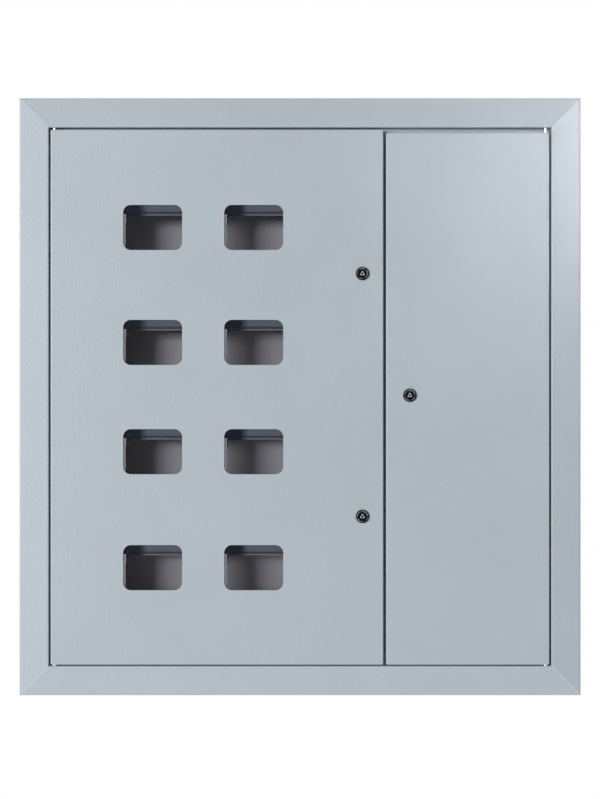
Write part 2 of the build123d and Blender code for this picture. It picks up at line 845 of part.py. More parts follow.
def lock_rotor(x, z):
    """Turning core: a triangular key stub in front and a square spindle for the cam."""
    y_key = y_front - lock_head_height + key_set_back
    core = extrude(facing(y_barrel_back) * Circle(rotor_radius), y_barrel_back - y_well)
    stub = extrude(facing(y_well) * fillet(Triangle(a=key_side, b=key_side, c=key_side).vertices(),
                                           key_corner), y_well - y_key)
    spindle = extrude(facing(y_cam_back) * Rectangle(spindle_side, spindle_side),
                      y_cam_back - y_barrel_back)
    bore = extrude(facing(y_cam_back + cut_margin) * Circle(cam_screw_radius + thread_fit),
                   cam_bore_depth + cut_margin)
    return Pos(x, 0, z) * (core + stub + spindle - bore)


def lock_cam(x, z):
    """Flat cam on the spindle, hanging down in the unlocked position."""
    arm_end = cam_reach - cam_width / 2
    outline = Circle(cam_hub_radius) + Pos(0, -arm_end) * Circle(cam_width / 2)
    outline += Pos(0, -arm_end / 2) * Rectangle(cam_width, arm_end)
    outline -= Rectangle(spindle_side + 2 * thread_fit, spindle_side + 2 * thread_fit)
    return Pos(x, 0, z) * extrude(facing(y_cam_back) * outline, cam_thickness)


def cam_screw(x, z):
    """Screw that holds the cam on the spindle."""
    head = extrude(facing(y_cam_back + cam_screw_head) * Circle(cam_screw_head_radius),
                   cam_screw_head)
    shank = extrude(facing(y_cam_back) * Circle(cam_screw_radius), cam_screw_length)
    return Pos(x, 0, z) * (head + shank)


def lock_parts(name, x, z):
    """Barrel, rotor, cam and cam screw of one lock, by part name."""
    return {name + "_lock_barrel": lock_barrel(x, z), name + "_lock_rotor": lock_rotor(x, z),
            name + "_lock_cam": lock_cam(x, z), name + "_cam_screw": cam_screw(x, z)}


parts = {
    "frame_top": frame_top(),
    "frame_bottom": frame_bottom(),
    "frame_left": frame_bar((-1, 0, 0), opening_x, board_height / 2),
    "frame_right": frame_bar((1, 0, 0), opening_x, board_height / 2),
    "case_shell": case_shell(),
    "top_wall": end_wall(1),
    "bottom_wall": end_wall(-1),
    "centre_post": centre_post(),
    "partition": partition(),
    "upright_left": upright(upright_left_x),
    "upright_middle": upright(upright_middle_x),
    "upright_right": upright(upright_right_x),
    "din_rails": group(rail(row) for row in window_rows),
    "breaker_cover": breaker_cover(),
    "mounting_panel": mounting_panel(),
    "spacers": spacers(),
    "case_screws": case_screws(),
    "neutral_bar": terminal_bar(bar_heights_z[0]),
    "earth_bar": terminal_bar(bar_heights_z[1]),
    "bar_supports": bar_supports(),
    "bar_screws": bar_screws(),
    "earth_stud": earth_stud(),
    "left_door": left_door(),
    "right_door": right_door(),
    "left_hinge_pins": door_pins(-1, left_door_top),
    "right_hinge_pins": door_pins(1, right_door_top),
    "left_hinge_brackets": door_brackets(-1, left_door_top),
    "right_hinge_brackets": door_brackets(1, right_door_top),
    "left_door_studs": left_door_studs(),
    "right_door_stud": group(earth_stud_of_door(1)),
    "left_lock_nuts": group(lock_nut(left_lock_x, z) for z in left_lock_heights),
    "right_lock_nut": lock_nut(right_lock_x, right_lock_height),
}
for i, row in enumerate(window_rows):
    parts[f"meter_plate_{i + 1}"] = meter_plate(row)
    parts[f"pane_retainer_{i + 1}"] = pane_retainer(row)
    for j, x in enumerate(window_columns):
        parts[f"pane_{2 * i + j + 1}"] = pane(x, row)
parts.update(lock_parts("upper", left_lock_x, left_lock_heights[0]))
parts.update(lock_parts("lower", left_lock_x, left_lock_heights[1]))
parts.update(lock_parts("right", right_lock_x, right_lock_height))

os.makedirs("parts", exist_ok=True)
for name, solid in parts.items():
    export_step(solid, f"parts/{name}.step")
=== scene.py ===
import json
from math import cos, pi, radians, sin

import bmesh
import bpy
from mathutils import Matrix, Vector

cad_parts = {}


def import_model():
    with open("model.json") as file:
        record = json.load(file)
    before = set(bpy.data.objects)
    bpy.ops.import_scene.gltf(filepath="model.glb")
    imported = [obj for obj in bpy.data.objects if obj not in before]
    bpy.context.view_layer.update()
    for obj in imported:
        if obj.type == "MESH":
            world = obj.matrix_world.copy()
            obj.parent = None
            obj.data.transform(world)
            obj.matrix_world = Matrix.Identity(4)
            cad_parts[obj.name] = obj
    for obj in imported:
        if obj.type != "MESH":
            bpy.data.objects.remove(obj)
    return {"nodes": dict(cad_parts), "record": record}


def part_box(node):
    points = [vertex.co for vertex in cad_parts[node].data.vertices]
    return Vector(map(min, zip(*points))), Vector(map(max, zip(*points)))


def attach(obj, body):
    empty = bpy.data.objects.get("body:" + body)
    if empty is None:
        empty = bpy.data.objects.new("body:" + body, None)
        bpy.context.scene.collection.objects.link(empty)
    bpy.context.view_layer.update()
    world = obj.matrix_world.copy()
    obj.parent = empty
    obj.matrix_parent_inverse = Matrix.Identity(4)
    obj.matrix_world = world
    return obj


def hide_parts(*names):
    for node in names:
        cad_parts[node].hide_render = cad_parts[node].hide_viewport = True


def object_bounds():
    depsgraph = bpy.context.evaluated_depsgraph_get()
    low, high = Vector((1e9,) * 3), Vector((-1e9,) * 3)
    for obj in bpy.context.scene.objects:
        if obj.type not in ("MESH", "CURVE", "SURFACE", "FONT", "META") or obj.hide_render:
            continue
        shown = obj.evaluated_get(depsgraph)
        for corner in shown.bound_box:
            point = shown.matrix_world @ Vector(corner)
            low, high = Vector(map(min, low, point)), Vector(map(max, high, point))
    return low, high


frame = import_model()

# Floor distribution board seen from the front: grey powder-coated sheet, meter windows, cam locks.
# All sizes are in metres. X runs to the right, Y into the wall and Z up.

cad_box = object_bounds()
nodes = frame["nodes"]
slots = {part["node"]: part["material_slot"] for part in frame["record"]["subparts"]}

# Colours, linear
coat_colour = (0.425, 0.480, 0.527)
# Painted light and shade of each frame bar: a tone that makes its coat lighter or darker than the
# doors' as light falls on it, and its roughness against the doors'
frame_painted_light_coats = {"frame_left": (1.08, 1.0), "frame_top": (0.95, 1.4), "frame_bottom": (1.03, 1.0),
               "frame_right": (0.955, 0.88)}
zinc_colour = (0.66, 0.67, 0.69)
brass_colour = (0.56, 0.37, 0.13)
plastic_colour = (0.022, 0.024, 0.027)
lock_colour = (0.003, 0.0035, 0.005)
# Grey of the painted highlight on the ring round each lock's key well
ring_highlight_colour = (0.30, 0.31, 0.33)
pane_tint = (0.912, 0.91, 0.93)
plate_colour = (0.56, 0.558, 0.57)
# Painted shade and painted light across the retainers' fronts, and a painted lit strip at each
# window's left edge; the back has the retainers' own dark colour
retainer_painted_shade = (0.007, 0.011, 0.020)
retainer_painted_light = (0.130, 0.158, 0.180)
retainer_painted_edge_light = (0.58, 0.59, 0.62)
retainer_back = (0.055, 0.066, 0.080)
# Painted light on the right parts of the beads
bead_painted_light = (0.27, 0.28, 0.30)

# Reliefs of the powder coat, coarsest first: lumps to the metre, detail, depth and strength
coat_reliefs = ((5.0, 1.0, 0.0012, 0.6), (260.0, 0.0, 0.0005, 0.32),
                (380.0, 1.0, 0.00030, 0.35), (1400.0, 1.0, 0.00005, 0.3))
# Its roughness follows the third relief, between two values
coat_grain = coat_reliefs[2][:2]
coat_roughness = (0.24, 0.50)

# Locks: key stub with its dimple, head, key well with a raised ring, bore and threaded shank
locks = {"upper": "left_door", "lower": "left_door", "right": "right_door"}
stub_height = 0.0037
dimple_radius = 0.0020
dimple_depth = 0.0012
head_round = 0.0016
head_height = 0.0034
well_radius = 0.0078
well_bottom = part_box("upper_lock_rotor")[0].y + stub_height
ring_radius = 0.0084
ring_rise = 0.0004
bore_radius = 0.0066
shank_radius = 0.009
shank_flats = 0.016
shank_pitch = 0.0015

# Share of each kind of screw's length that its head takes
case_head_share = 0.259
bar_head_share = 1.0
cam_head_share = 0.231
# Shank as a share of the head's radius, then pitch and tip as shares of the shank's
shank_share = 0.54
pitch_share = 0.32
tip_share = 0.4
# Depth of the recess as a share of the head's height, and how far it narrows
recess_share = 0.62
recess_taper = 0.7
# Turn of each screw against the one before, in radians
turn_step = 0.9

# Threads, as shares of the pitch: depth, plain start, and both edges of a crest
thread_depth = 0.54
thread_start = 0.4
thread_crest = (0.45, 0.55)

# Retainers, each behind one row of two windows. Places across are measured from the middle of a
# pane and heights from the middle of its retainer.
window_rows = range(1, 5)
opening_corner = 0.006
opening_sides = (-0.0459, 0.0524)
opening_top = 0.0227
# Span across a pane where the retainer turns from painted shade to painted light, the painted shade
# band along its lower edge with its strength, and where the painted lit strip at the left ends
painted_light_span = (-0.022, -0.008)
painted_crease_shade_span = (0.0222, 0.0268)
crease_shade_strength = 0.6
painted_edge_end = -0.0450
# How far behind the panes the sheet still has its painted light and shade
painted_front_depth = 0.0003
# Beads rolled on the openings: depth of the axis and of the painted light and shade behind the
# panes, and how much lower the painted light and shade are taken than the bead lies
bead_radius = 0.0012
bead_axis = bead_radius * 1.1
bead_depth = bead_radius * 1.6
bead_drop = 0.0142

# Panes: bow in the middle, inset of both faces and corner radius, with the half size of a window
panes = range(1, 9)
pane_bulge = 0.0005
pane_relief = 0.00015
pane_corner = 0.003
window_half = (0.0494, 0.0378)

# Camera and floor. The floor fades out between two distances from its middle.
camera_distance = 3.0
camera_height = -0.0046
camera_lens = 80.81
floor_height = -1.5
floor_half = 4.0
floor_fade = (0.6, 2.2)
floor_glow = 0.5
# Dark card that the panes mirror
card_place = (-0.42, -5.0, 0.0)
card_width = 1.5
card_height = 2.4
# Strength of the world's light
ambient = 0.22
# Lamps: place, target, width, height, power in watts and spread in degrees
lamps = {
    "left_key": ((-5.4, -7.1, 0.75), (0.0, -0.15, 0.0), 4.4, 1.3, 655.0, 180.0),
    "low_fill": ((0.3, -2.6, -3.0), (0.0, -0.15, -0.2), 2.4, 1.2, 38.0, 180.0),
    "back_light": ((2.4, 5.0, 2.0), (0.0, 0.0, 0.0), 3.5, 2.5, 260.0, 180.0),
    "right_sheen": ((1.1, -3.1, 0.94), (0.60, -0.15, 0.46), 0.5, 0.5, 0.34, 17.0),
}


# Node materials

def add(tree, kind, inputs=None, **settings):
    """Adds a shader node. Inputs are values or sockets, by name or by index."""
    node = tree.nodes.new(kind)
    for name, value in settings.items():
        setattr(node, name, value)
    for key, value in (inputs or {}).items():
        if isinstance(value, bpy.types.NodeSocket):
            tree.links.new(value, node.inputs[key])
        else:
            node.inputs[key].default_value = value
    return node


def noise(tree, place, scale, detail=2.0):
    """Soft noise from about 0.3 to 0.7, with a number of lumps to the metre."""
    inputs = {"Vector": place, "Scale": scale, "Detail": detail}
    return add(tree, "ShaderNodeTexNoise", inputs).outputs["Fac"]


def remap(tree, value, low, high, start=0.3, end=0.7):
    """Carries a value from the range start to end into the range low to high."""
    inputs = {"Value": value, "From Min": start, "From Max": end, "To Min": low, "To Max": high}
    return add(tree, "ShaderNodeMapRange", inputs).outputs["Result"]


def mix_colours(tree, factor, a, b):
    """Colour between a and b, each a colour or a socket."""
    a, b = (end if isinstance(end, bpy.types.NodeSocket) else (*end, 1.0) for end in (a, b))
    return add(tree, "ShaderNodeMix", {0: factor, 6: a, 7: b}, data_type="RGBA").outputs[2]


def bump(tree, height, distance, strength, under=None):
    """Normal bent by a height, over another bent normal if there is one."""
    inputs = {"Height": height, "Distance": distance, "Strength": strength}
    if under is not None:
        inputs["Normal"] = under
    return add(tree, "ShaderNodeBump", inputs).outputs["Normal"]


def maths(tree, operation, *values):
    """Result of a maths node. A comparison gives one or zero."""
    return add(tree, "ShaderNodeMath", dict(enumerate(values)), operation=operation).outputs[0]


def within(tree, value, low, high):
    """One where a value lies between two limits, and zero elsewhere."""
    return maths(tree, "MULTIPLY", maths(tree, "GREATER_THAN", value, low),
                 maths(tree, "LESS_THAN", value, high))


def stretched(tree, place, scale):
    """Place scaled apart along its three axes."""
    return add(tree, "ShaderNodeMapping", {"Vector": place, "Scale": scale}).outputs["Vector"]


def new_material(name):
    """Material with one Principled shader; gives its tree, the shader and the object's place."""
    material = bpy.data.materials.new(name)
    material.use_nodes = True
    tree = material.node_tree
    place = add(tree, "ShaderNodeTexCoord").outputs["Object"]
    return material, tree, tree.nodes["Principled BSDF"], place


def feed(tree, shader, colour, roughness, normal):
    """Links a colour, a roughness and a normal to a shader."""
    for name, socket in (("Base Color", colour), ("Roughness", roughness), ("Normal", normal)):
        tree.links.new(socket, shader.inputs[name])


def shaded(colour, tone):
    """Colour made darker or lighter."""
    return tuple(channel * tone for channel in colour)


def powder_coat(name, tone, rough=1.0):
    """Light grey coat: shagreen grains about 2 mm across, over slow waves of the sheet."""
    material, tree, shader, place = new_material(name)
    # A tone above one paints light on a frame bar, and a tone below one paints shade
    base = shaded(coat_colour, tone)
    patches = remap(tree, noise(tree, place, 6.0, 4.0), 0.0, 1.0)
    colour = mix_colours(tree, patches, shaded(base, 0.975), shaded(base, 1.025))
    low, high = (limit * rough for limit in coat_roughness)
    roughness = remap(tree, noise(tree, place, *coat_grain), low, high, 0.1, 0.9)
    normal = None
    for scale, detail, depth, strength in coat_reliefs:
        normal = bump(tree, noise(tree, place, scale, detail), depth, strength, normal)
    feed(tree, shader, colour, roughness, normal)
    return material


def galvanised():
    """Galvanised sheet with spangles about 9 mm across."""
    material, tree, shader, place = new_material("galvanised")
    cells = add(tree, "ShaderNodeTexVoronoi", {"Vector": place, "Scale": 110.0})
    tone = add(tree, "ShaderNodeRGBToBW", {"Color": cells.outputs["Color"]}).outputs["Val"]
    colour = mix_colours(tree, remap(tree, tone, 0.0, 1.0, 0.2, 0.8), (0.45, 0.47, 0.49),
                         (0.56, 0.58, 0.60))
    roughness = remap(tree, tone, 0.42, 0.54, 0.2, 0.8)
    dull = bump(tree, noise(tree, place, 40.0, 3.0), 0.0004, 0.3)
    feed(tree, shader, colour, roughness, bump(tree, tone, 0.00006, 0.3, dull))
    shader.inputs["Metallic"].default_value = 0.85
    return material


def plate_grey():
    """Passivated galvanised plate: nearly matt, with faint clouds and rolling lines."""
    material, tree, shader, place = new_material("plate_grey")
    cloud = noise(tree, place, 14.0, 4.0)
    lines = noise(tree, stretched(tree, place, (0.05, 1.0, 1.0)), 900.0, 2.0)
    colour = mix_colours(tree, remap(tree, cloud, 0.0, 1.0), shaded(plate_colour, 0.9),
                         plate_colour)
    feed(tree, shader, colour, remap(tree, cloud, 0.5, 0.62), bump(tree, lines, 0.00005, 0.4))
    shader.inputs["Metallic"].default_value = 0.15
    return material


def blued_steel_painted_light(name, dark, light, row, depth):
    """Blued spring steel. To a depth behind the panes it has painted shade at the left of each
    window turning to painted light at the right, a painted lit strip at the left edge and a painted
    shade line along the band's lower edge."""
    material, tree, shader, place = new_material(name)
    parts = add(tree, "ShaderNodeSeparateXYZ", {"Vector": place})
    low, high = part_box("pane_1")
    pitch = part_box("pane_2")[0].x - low.x
    from_first = maths(tree, "SUBTRACT", parts.outputs["X"], (low.x + high.x) / 2)
    across = maths(tree, "WRAP", from_first, pitch / 2, -pitch / 2)
    down = maths(tree, "SUBTRACT", parts.outputs["Z"], row)
    # Painted shade at the left of each window, painted light at the right
    painted_front_colour = mix_colours(tree, remap(tree, across, 0.0, 1.0, *painted_light_span), dark, light)
    # Painted shade along the band's lower edge
    crease_shade = maths(tree, "MULTIPLY", within(tree, down, *painted_crease_shade_span), crease_shade_strength)
    painted_front_colour = mix_colours(tree, crease_shade, painted_front_colour, dark)
    # Painted lit strip at each window's left edge
    edge = maths(tree, "MULTIPLY", maths(tree, "LESS_THAN", down, painted_crease_shade_span[0]),
                 maths(tree, "LESS_THAN", across, painted_edge_end))
    painted_front_colour = mix_colours(tree, edge, painted_front_colour, retainer_painted_edge_light)
    front = maths(tree, "LESS_THAN", parts.outputs["Y"], high.y + depth)
    cloud = noise(tree, place, 90.0, 3.0)
    back_colour = mix_colours(tree, remap(tree, cloud, 0.0, 1.0), shaded(retainer_back, 0.8),
                              retainer_back)
    feed(tree, shader, mix_colours(tree, front, back_colour, painted_front_colour),
         remap(tree, cloud, 0.32, 0.44), bump(tree, cloud, 0.0001, 0.2))
    shader.inputs["Specular IOR Level"].default_value = 0.18
    return material


def zinc_plated():
    """Bright zinc plating with faint clouds and drawing marks."""
    material, tree, shader, place = new_material("zinc_plated")
    cloud = noise(tree, place, 160.0, 3.0)
    marks = noise(tree, place, 2600.0, 1.0)
    colour = mix_colours(tree, remap(tree, cloud, 0.0, 1.0), shaded(zinc_colour, 0.86),
                         zinc_colour)
    feed(tree, shader, colour, remap(tree, cloud, 0.24, 0.38), bump(tree, marks, 0.00003, 0.3))
    shader.inputs["Metallic"].default_value = 1.0
    return material


def brass():
    """Drawn brass with fine lines along its length."""
    material, tree, shader, place = new_material("brass")
    lines = noise(tree, stretched(tree, place, (0.03, 1.0, 1.0)), 1800.0, 2.0)
    colour = mix_colours(tree, remap(tree, lines, 0.0, 1.0), shaded(brass_colour, 0.8),
                         brass_colour)
    feed(tree, shader, colour, remap(tree, lines, 0.28, 0.42), bump(tree, lines, 0.00004, 0.4))
    shader.inputs["Metallic"].default_value = 1.0
    return material


def from_axis(tree, place, centre):
    """Distance of a point from the axis of a lock, and its depth."""
    parts = add(tree, "ShaderNodeSeparateXYZ", {"Vector": place})
    level = add(tree, "ShaderNodeCombineXYZ", {"X": parts.outputs["X"], "Z": parts.outputs["Z"]})
    away = add(tree, "ShaderNodeVectorMath", {0: level.outputs[0], 1: (centre.x, 0.0, centre.z)},
               operation="DISTANCE").outputs["Value"]
    return away, parts.outputs["Y"]


def lock_black(name, centre):
    """Black coated die casting with a faint grain, and a painted highlight on the ring round the
    key well: grey, broken at random by noise.
    """
    material, tree, shader, place = new_material(name)
    away, depth = from_axis(tree, place, centre)
    ring = within(tree, away, well_radius + ring_rise / 4, ring_radius + 2 * ring_rise)
    head = maths(tree, "LESS_THAN", depth, cad_box[0][1] + head_height)
    # Painted highlight: the grey ring is broken into arcs by noise
    highlight_breaks = remap(tree, noise(tree, place, 170.0, 1.0), 0.1, 1.0, 0.42, 0.56)
    painted_ring_highlight = maths(tree, "MULTIPLY", maths(tree, "MULTIPLY", ring, head), highlight_breaks)
    grain = noise(tree, place, 900.0, 2.0)
    black = mix_colours(tree, remap(tree, grain, 0.0, 1.0), lock_colour, shaded(lock_colour, 1.6))
    feed(tree, shader, mix_colours(tree, painted_ring_highlight, black, ring_highlight_colour),
         remap(tree, grain, 0.26, 0.36), bump(tree, grain, 0.00003, 0.35))
    shader.inputs["Specular IOR Level"].default_value = 0.1
    return material


def lock_core(name, centre):
    """Black turning core with a bright key stub in front; the stub's dimple is painted black as
    shade.
    """
    material, tree, shader, place = new_material(name)
    away, depth = from_axis(tree, place, centre)
    # Painted shade: the dimple stays black while the rest of the stub is bright
    stub_outside_shaded_dimple = maths(tree, "MULTIPLY", maths(tree, "LESS_THAN", depth, well_bottom),
                 maths(tree, "GREATER_THAN", away, dimple_radius))
    marks = noise(tree, place, 1500.0, 2.0)
    bright = mix_colours(tree, remap(tree, marks, 0.0, 1.0), shaded(zinc_colour, 0.9), zinc_colour)
    feed(tree, shader, mix_colours(tree, stub_outside_shaded_dimple, lock_colour, bright),
         remap(tree, marks, 0.24, 0.34), bump(tree, marks, 0.00003, 0.3))
    tree.links.new(stub_outside_shaded_dimple, shader.inputs["Metallic"])
    shader.inputs["Specular IOR Level"].default_value = 0.1
    return material


def support_plastic():
    """Dark insulating plastic with a fine moulded grain."""
    material, tree, shader, place = new_material("support_plastic")
    grain = noise(tree, place, 1100.0, 2.0)
    colour = mix_colours(tree, remap(tree, grain, 0.0, 1.0), plastic_colour,
                         shaded(plastic_colour, 1.5))
    feed(tree, shader, colour, remap(tree, grain, 0.5, 0.65), bump(tree, grain, 0.00006, 0.5))
    return material


def window_glass():
    """Clear pane: tinted see-through, with a reflection that grows towards grazing sight."""
    material, tree, shader, place = new_material("window_glass")
    tree.nodes.remove(shader)
    facing = add(tree, "ShaderNodeLayerWeight").outputs["Facing"]
    shine = remap(tree, maths(tree, "POWER", facing, 5.0), 0.04, 1.0, 0.0, 1.0)
    haze = noise(tree, place, 60.0, 3.0)
    ripple = bump(tree, noise(tree, place, 22.0, 1.0), 0.0004, 0.25)
    clear = mix_colours(tree, remap(tree, haze, 0.0, 1.0), shaded(pane_tint, 0.985), pane_tint)
    through = add(tree, "ShaderNodeBsdfTransparent", {"Color": clear}).outputs[0]
    mirror = add(tree, "ShaderNodeBsdfAnisotropic",
                 {"Color": (1.0, 1.0, 1.0, 1.0), "Roughness": 0.03, "Normal": ripple}).outputs[0]
    both = add(tree, "ShaderNodeMixShader", {0: shine, 1: through, 2: mirror}).outputs[0]
    tree.links.new(both, tree.nodes["Material Output"].inputs["Surface"])
    return material


# Mesh pieces

sharp_angle = radians(32)


def new_piece(name, mesh, body, slot, *replaced, finish=None):
    """Object from a mesh, on its body and with its finish, in place of CAD nodes."""
    bmesh.ops.recalc_face_normals(mesh, faces=mesh.faces)
    for face in mesh.faces:
        face.smooth = True
    for edge in mesh.edges:
        edge.smooth = len(edge.link_faces) == 2 and edge.calc_face_angle() < sharp_angle
    data = bpy.data.meshes.new(name)
    mesh.to_mesh(data)
    mesh.free()
    piece = bpy.data.objects.new(name, data)
    bpy.context.scene.collection.objects.link(piece)
    data.materials.append(finish or finishes[slot])
    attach(piece, body)
    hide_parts(*replaced)
    return piece


def solids_of(node):
    """Lowest and highest corner of each separate solid of a CAD node."""
    mesh = bmesh.new()
    mesh.from_mesh(nodes[node].data)
    bmesh.ops.remove_doubles(mesh, verts=mesh.verts, dist=1e-6)
    left = set(mesh.verts)
    boxes = []
    while left:
        todo = [left.pop()]
        island = list(todo)
        while todo:
            for edge in todo.pop().link_edges:
                for vert in edge.verts:
                    if vert in left:
                        left.remove(vert)
                        todo.append(vert)
                        island.append(vert)
        corners = [[pick(vert.co[axis] for vert in island) for axis in range(3)]
                   for pick in (min, max)]
        boxes.append((Vector(corners[0]), Vector(corners[1])))
    mesh.free()
    return sorted(boxes, key=lambda box: tuple(round(value, 5) for value in box[0]))


def join_rings(mesh, a, b):
    """Faces between two rings of equal count, either of which may be a single point."""
    count = max(len(a), len(b))
    for i in range(count):
        j = (i + 1) % count
        corners = [a[i % len(a)], a[j % len(a)], b[j % len(b)], b[i % len(b)]]
        mesh.faces.new(list(dict.fromkeys(corners)))


def turned(mesh, profile, x, z, steps=24):
    """Adds a closed turned form around an axis along Y, from (radius, y) pairs; gives its rings."""
    angles = [2 * pi * i / steps for i in range(steps)]
    rings = []
    for radius, y in profile:
        round_ring = [(x + radius * cos(a), y, z + radius * sin(a)) for a in angles]
        rings.append([mesh.verts.new(place) for place in (round_ring if radius else [(x, y, z)])])
    for a, b in zip(rings, rings[1:]):
        join_rings(mesh, a, b)
    return rings


def dome(radius, y_rim, y_top, steps=6, crown=0.12, wall=0.2, flat=0.72):
    """Profile of a pan head from its top to its rim, with a quarter-round shoulder. Its crown and
    wall are shares of the height, its flat top is a share of the radius."""
    rise = y_rim - y_top
    points = [(0.0, y_top), (radius * 0.45, y_top + rise * crown * 0.4)]
    for i in range(steps + 1):
        turn = pi / 2 * i / steps
        points.append((radius * (flat + (1 - flat) * sin(turn)),
                       y_rim - rise * wall - rise * (1 - wall - crown) * cos(turn)))
    points.append((radius, y_rim))
    return points


def thread(radius, y0, y1, pitch):
    """Profile of a threaded rod from y0 to the greater y1, as a row of ridges."""
    core = radius - pitch * thread_depth
    count = int((y1 - y0 - pitch) / pitch)
    start = y0 + pitch * thread_start
    points = [(0.0, y0), (core, y0)]
    for i in range(count):
        y = start + i * pitch
        points += [(core, y)] + [(radius, y + pitch * share) for share in thread_crest]
    points += [(core, start + count * pitch), (core, y1), (0.0, y1)]
    return points


def hex_ring(mesh, apothem, limit, x, y, z, drop, steps):
    """Ring on a hexagon whose corners are cut to a radius; drop moves the corners along Y."""
    ring = []
    for i in range(steps):
        angle = 2 * pi * i / steps
        across = (angle + pi / 6) % (pi / 3) - pi / 6
        radius = apothem / cos(across)
        shift = drop * (radius - apothem) / apothem
        radius = min(radius, limit)
        ring.append(mesh.verts.new((x + radius * cos(angle), y + shift, z + radius * sin(angle))))
    return ring


def nut(mesh, flats, bore, x, z, y0, y1, steps=36):
    """Adds a hexagonal nut from y0 to y1 with chamfered corners and a countersunk bore."""
    apothem = flats / 2
    face = apothem * 1.01
    step = flats * 0.012
    drop = flats * 0.30
    top = hex_ring(mesh, apothem, face, x, y0, z, 0.0, steps)
    upper = hex_ring(mesh, apothem, flats, x, y0 + step, z, drop, steps)
    lower = hex_ring(mesh, apothem, flats, x, y1 - step, z, -drop, steps)
    end = hex_ring(mesh, apothem, face, x, y1, z, 0.0, steps)
    angles = [2 * pi * i / steps for i in range(steps)]
    lead = bore * 0.14

    def ring(radius, y):
        return [mesh.verts.new((x + radius * cos(a), y, z + radius * sin(a))) for a in angles]

    rings = [top, upper, lower, end, ring(bore + lead, y1), ring(bore, y1 - lead),
             ring(bore, y0 + lead), ring(bore + lead, y0), top]
    for a, b in zip(rings, rings[1:]):
        join_rings(mesh, a, b)


def cut_recess(mesh, outline, depth, y_top, taper):
    """Cuts a tapered recess with an outline of (x, z) points down from y_top; gives the mesh."""
    cutter = bmesh.new()
    high = [cutter.verts.new((x, y_top - depth, z)) for x, z in outline]
    low = [cutter.verts.new((x * taper, y_top + depth, z * taper)) for x, z in outline]
    cutter.faces.new(high)
    cutter.faces.new(low)
    join_rings(cutter, high, low)
    bmesh.ops.recalc_face_normals(cutter, faces=cutter.faces)
    bmesh.ops.recalc_face_normals(mesh, faces=mesh.faces)
    pair = []
    for form in (mesh, cutter):
        data = bpy.data.meshes.new("form")
        form.to_mesh(data)
        form.free()
        pair.append(bpy.data.objects.new("form", data))
        bpy.context.scene.collection.objects.link(pair[-1])
    cut = pair[0].modifiers.new("cut", "BOOLEAN")
    cut.object = pair[1]
    cut.operation = "DIFFERENCE"
    cut.solver = "EXACT"
    bpy.context.view_layer.update()
    shown = pair[0].evaluated_get(bpy.context.evaluated_depsgraph_get())
    result = bpy.data.meshes.new_from_object(shown)
    for form in pair:
        bpy.data.objects.remove(form)
    return result


def screw_form(box, recess, head_share):
    """One screw at the origin, its head towards -Y and its head's seat at y = 0."""
    size = box[1] - box[0]
    radius = size.x / 2
    head = size.y * head_share
    shank = radius * shank_share
    profile = dome(radius, 0.0, -head)
    if size.y > head * 1.01:
        tip = size.y - head
        rod = thread(shank, 0.0, tip, shank * pitch_share)
        profile += rod[1:-1] + [(shank * tip_share, tip), (0.0, tip)]
    else:
        profile.append((0.0, 0.0))
    mesh = bmesh.new()
    turned(mesh, profile, 0.0, 0.0)
    return cut_recess(mesh, recess(radius), head * recess_share, -head, recess_taper)


def cross(radius):
    """Outline of a cross recess."""
    arm = radius * 0.56
    half = radius * 0.13
    inner = half * 1.25
    quarter = [(arm, -half), (arm, half), (inner, inner)]
    turns = [(1, 0, 0, 1), (0, -1, 1, 0), (-1, 0, 0, -1), (0, 1, -1, 0)]
    return [(x * a + z * b, x * c + z * d) for a, b, c, d in turns for x, z in quarter]


def straight_slot(radius):
    """Outline of a screwdriver slot right across a head."""
    reach = radius * 1.2
    half = radius * 0.16
    return [(-reach, -half), (reach, -half), (reach, half), (-reach, half)]


def screws(name, node, body, recess, head_share, backward=False):
    """Screws with recessed heads, one for each solid of a node, heads to the front or back."""
    boxes = solids_of(node)
    form = screw_form(boxes[0], recess, head_share)
    seat = (boxes[0][1] - boxes[0][0]).y * head_share
    mesh = bmesh.new()
    for i, (low, high) in enumerate(boxes):
        first = len(mesh.verts)
        mesh.from_mesh(form)
        mesh.verts.ensure_lookup_table()
        turn = Matrix.Rotation(turn_step * i, 4, "Y")
        y = low.y + seat
        if backward:
            turn = Matrix.Rotation(pi, 4, "Z") @ turn
            y = high.y - seat
        place = Matrix.Translation(((low.x + high.x) / 2, y, (low.z + high.z) / 2))
        bmesh.ops.transform(mesh, matrix=place @ turn, verts=mesh.verts[first:])
    new_piece(name, mesh, body, "zinc_plated", node)


def studs(name, node, body):
    """Threaded studs and chamfered nuts, one for each solid of a node."""
    mesh = bmesh.new()
    boxes = solids_of(node)
    thin = min(high.x - low.x for low, high in boxes)
    pitch = thin * 0.16
    bore = thin / 2 * 1.01
    for low, high in boxes:
        x = (low.x + high.x) / 2
        z = (low.z + high.z) / 2
        if high.x - low.x < thin * 1.1:
            turned(mesh, thread(thin / 2, low.y, high.y, pitch), x, z)
        else:
            nut(mesh, high.x - low.x, bore, x, z, low.y, high.y)
    new_piece(name, mesh, body, "zinc_plated", node)


